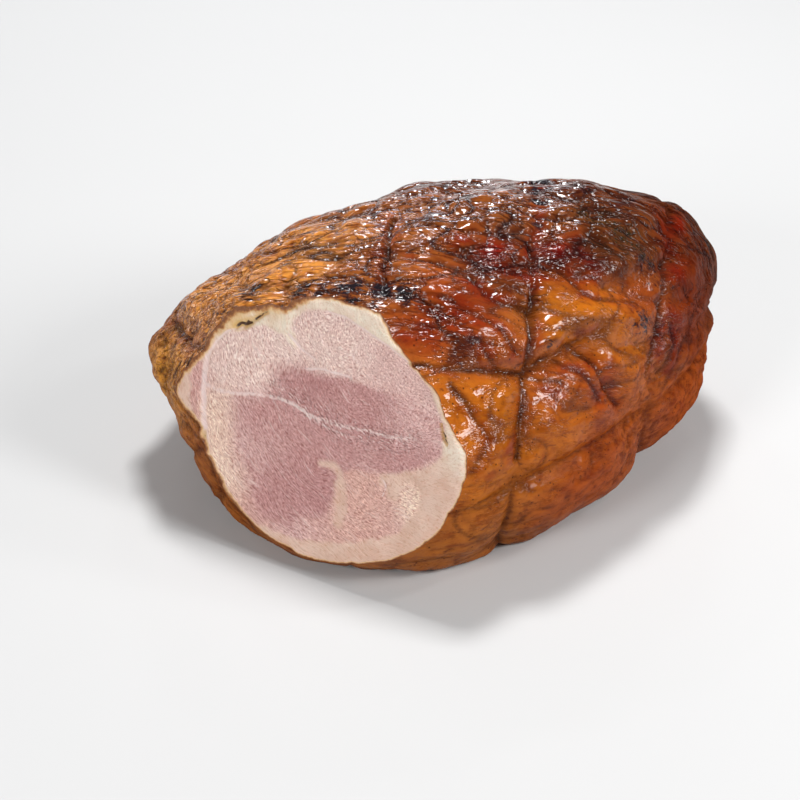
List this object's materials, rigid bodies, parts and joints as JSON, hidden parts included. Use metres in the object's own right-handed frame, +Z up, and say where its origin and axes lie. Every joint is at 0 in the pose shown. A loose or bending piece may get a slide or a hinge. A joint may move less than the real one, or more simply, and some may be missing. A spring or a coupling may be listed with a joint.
{
  "type": "roast pork shoulder",
  "caption": "Boned, tied and roasted pork shoulder with a browned, pillowed crust and one end carved off to show pale pink meat.",
  "frame": {"origin": "centre of the bounding box, on the flat base the joint rests on", "axes": "+X along the joint away from its carved end, +Y to the far side from the carved face, +Z up"},
  "size_m": [0.2835, 0.2263, 0.1381],
  "materials": {
    "roast_meat": "glazed brown crust, semi-gloss"
  },
  "bodies": {
    "root": {"roast_joint": "roast_meat"}
  },
  "joints": []
}
